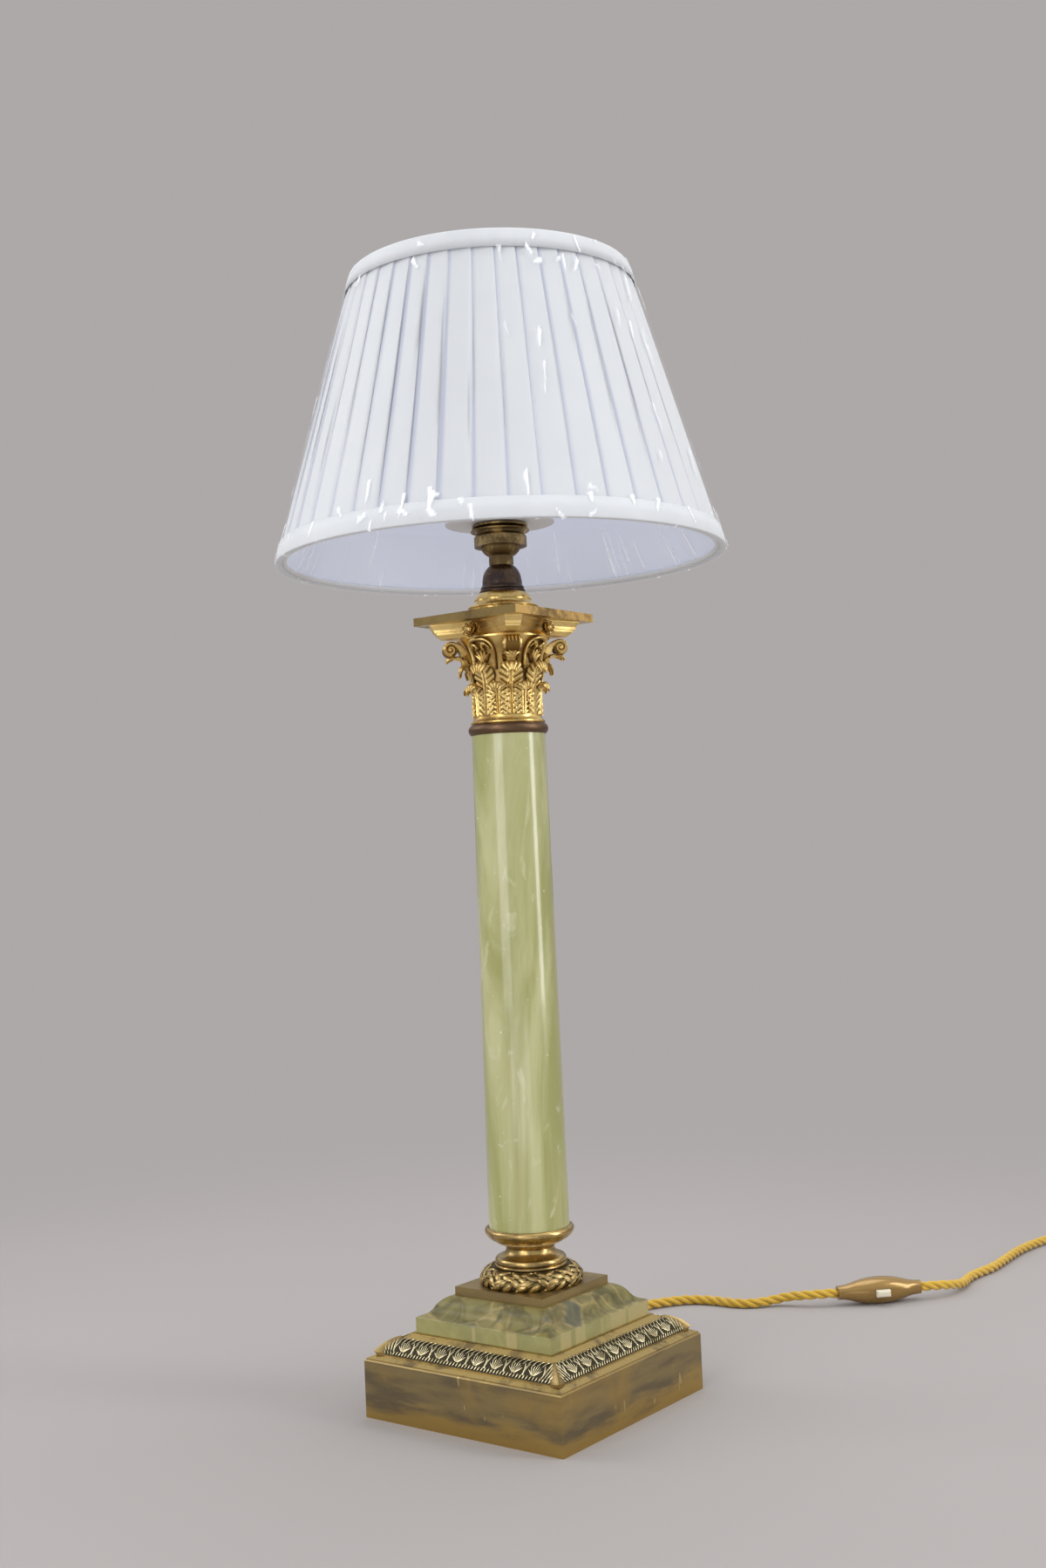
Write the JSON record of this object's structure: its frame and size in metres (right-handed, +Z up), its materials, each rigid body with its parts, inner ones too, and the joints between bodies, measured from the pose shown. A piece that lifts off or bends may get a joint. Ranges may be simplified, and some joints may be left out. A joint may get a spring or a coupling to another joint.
{
  "type": "table lamp",
  "caption": "Onyx column table lamp on a stepped square brass base, with a Corinthian capital, bayonet holder, pleated empire shade, switched gold flex and plug",
  "frame": {"origin": "middle of the square base, on the surface it stands on", "axes": "+Z up along the column, +Y towards the back of the base, where the flex leaves, +X to the right when seen from the front"},
  "size_m": [0.4214, 0.8321, 0.7579],
  "materials": {
    "brass_base": "aged_satin",
    "brass_leaf": "aged_cast",
    "brass_turned": "polished",
    "gilt_brass": "gilt",
    "dark_bronze": "dark_patina",
    "holder_brass": "antique",
    "pin_brass": "plain",
    "green_onyx": "polished",
    "column_onyx": "polished",
    "plain_steel": "plain",
    "felt": "felt",
    "insulator": "plain",
    "core_sleeve": "woven",
    "gold_flex": "braided",
    "switch_gold": "gloss",
    "cream_plastic": "gloss",
    "black_plastic": "moulded",
    "white_enamel": "satin",
    "shade_lining": "satin",
    "shade_fabric": "pleated",
    "clear_film": "clear_film"
  },
  "bodies": {
    "lamp": {"base_plinth": "brass_base", "base_felt": "felt", "base_underplate": "plain_steel", "leaf_moulding": "brass_leaf", "onyx_plinth": "green_onyx", "onyx_cap_plate": "brass_base", "laurel_wreath": "brass_leaf", "column_foot": "brass_turned", "onyx_column": "column_onyx", "neck_ring": "dark_bronze", "capital_collar": "gilt_brass", "capital_bell": "gilt_brass", "lower_acanthus_leaves": "gilt_brass", "upper_acanthus_leaves": "gilt_brass", "corner_scrolls": "gilt_brass", "side_scrolls": "gilt_brass", "capital_abacus": "gilt_brass", "abacus_rosettes": "gilt_brass", "abacus_plate": "brass_turned", "top_cap": "gilt_brass", "dark_cup": "dark_bronze", "tie_tube": "plain_steel", "tie_washer": "plain_steel", "tie_nut": "plain_steel", "lampholder_cap": "holder_brass", "lampholder_barrel": "holder_brass", "lampholder_skirt": "holder_brass", "lower_shade_ring": "holder_brass", "upper_shade_ring": "holder_brass", "shade_clamp_ring": "holder_brass", "lampholder_insulator": "insulator", "flex_bush": "black_plastic", "lamp_cores": "core_sleeve", "core_clip": "black_plastic", "clip_screws": "plain_steel", "flex_lamp_run": "gold_flex", "flex_plug_run": "gold_flex", "flex_coil": "gold_flex", "switch_upper_half": "switch_gold", "switch_lower_half": "switch_gold", "switch_screws": "plain_steel", "plug_cover": "black_plastic", "plug_base": "black_plastic", "plug_pins": "pin_brass", "plug_screw": "plain_steel"},
    "shade": {"shade_carrier_disc": "white_enamel", "shade_arms": "white_enamel", "shade_bottom_ring": "white_enamel", "shade_top_ring": "white_enamel", "shade_lining": "shade_lining", "pleated_cover": "shade_fabric", "bottom_binding": "shade_fabric", "top_binding": "shade_fabric", "shade_film": "clear_film"},
    "switch_bar": {"switch_push_bar": "cream_plastic"},
    "plunger_right": {"contact_plunger_right": "pin_brass"},
    "plunger_left": {"contact_plunger_left": "pin_brass"}
  },
  "joints": [
    {"name": "shade_turn", "type": "hinge", "parent": "lamp", "child": "shade", "pos_m": [0, 0, 0.589], "axis": [0, 0, 1], "continuous": true},
    {"name": "switch_push", "type": "slide", "parent": "lamp", "child": "switch_bar", "axis": [-0.7034, 0.7108, 0], "range_m": [0, 0.004]},
    {"name": "plunger_right_spring", "type": "slide", "parent": "lamp", "child": "plunger_right", "axis": [0, 0, 1], "range_m": [-0.003, 0], "stiffness_N_per_m": 300},
    {"name": "plunger_left_spring", "type": "slide", "parent": "lamp", "child": "plunger_left", "axis": [0, 0, 1], "range_m": [-0.003, 0], "stiffness_N_per_m": 300}
  ]
}
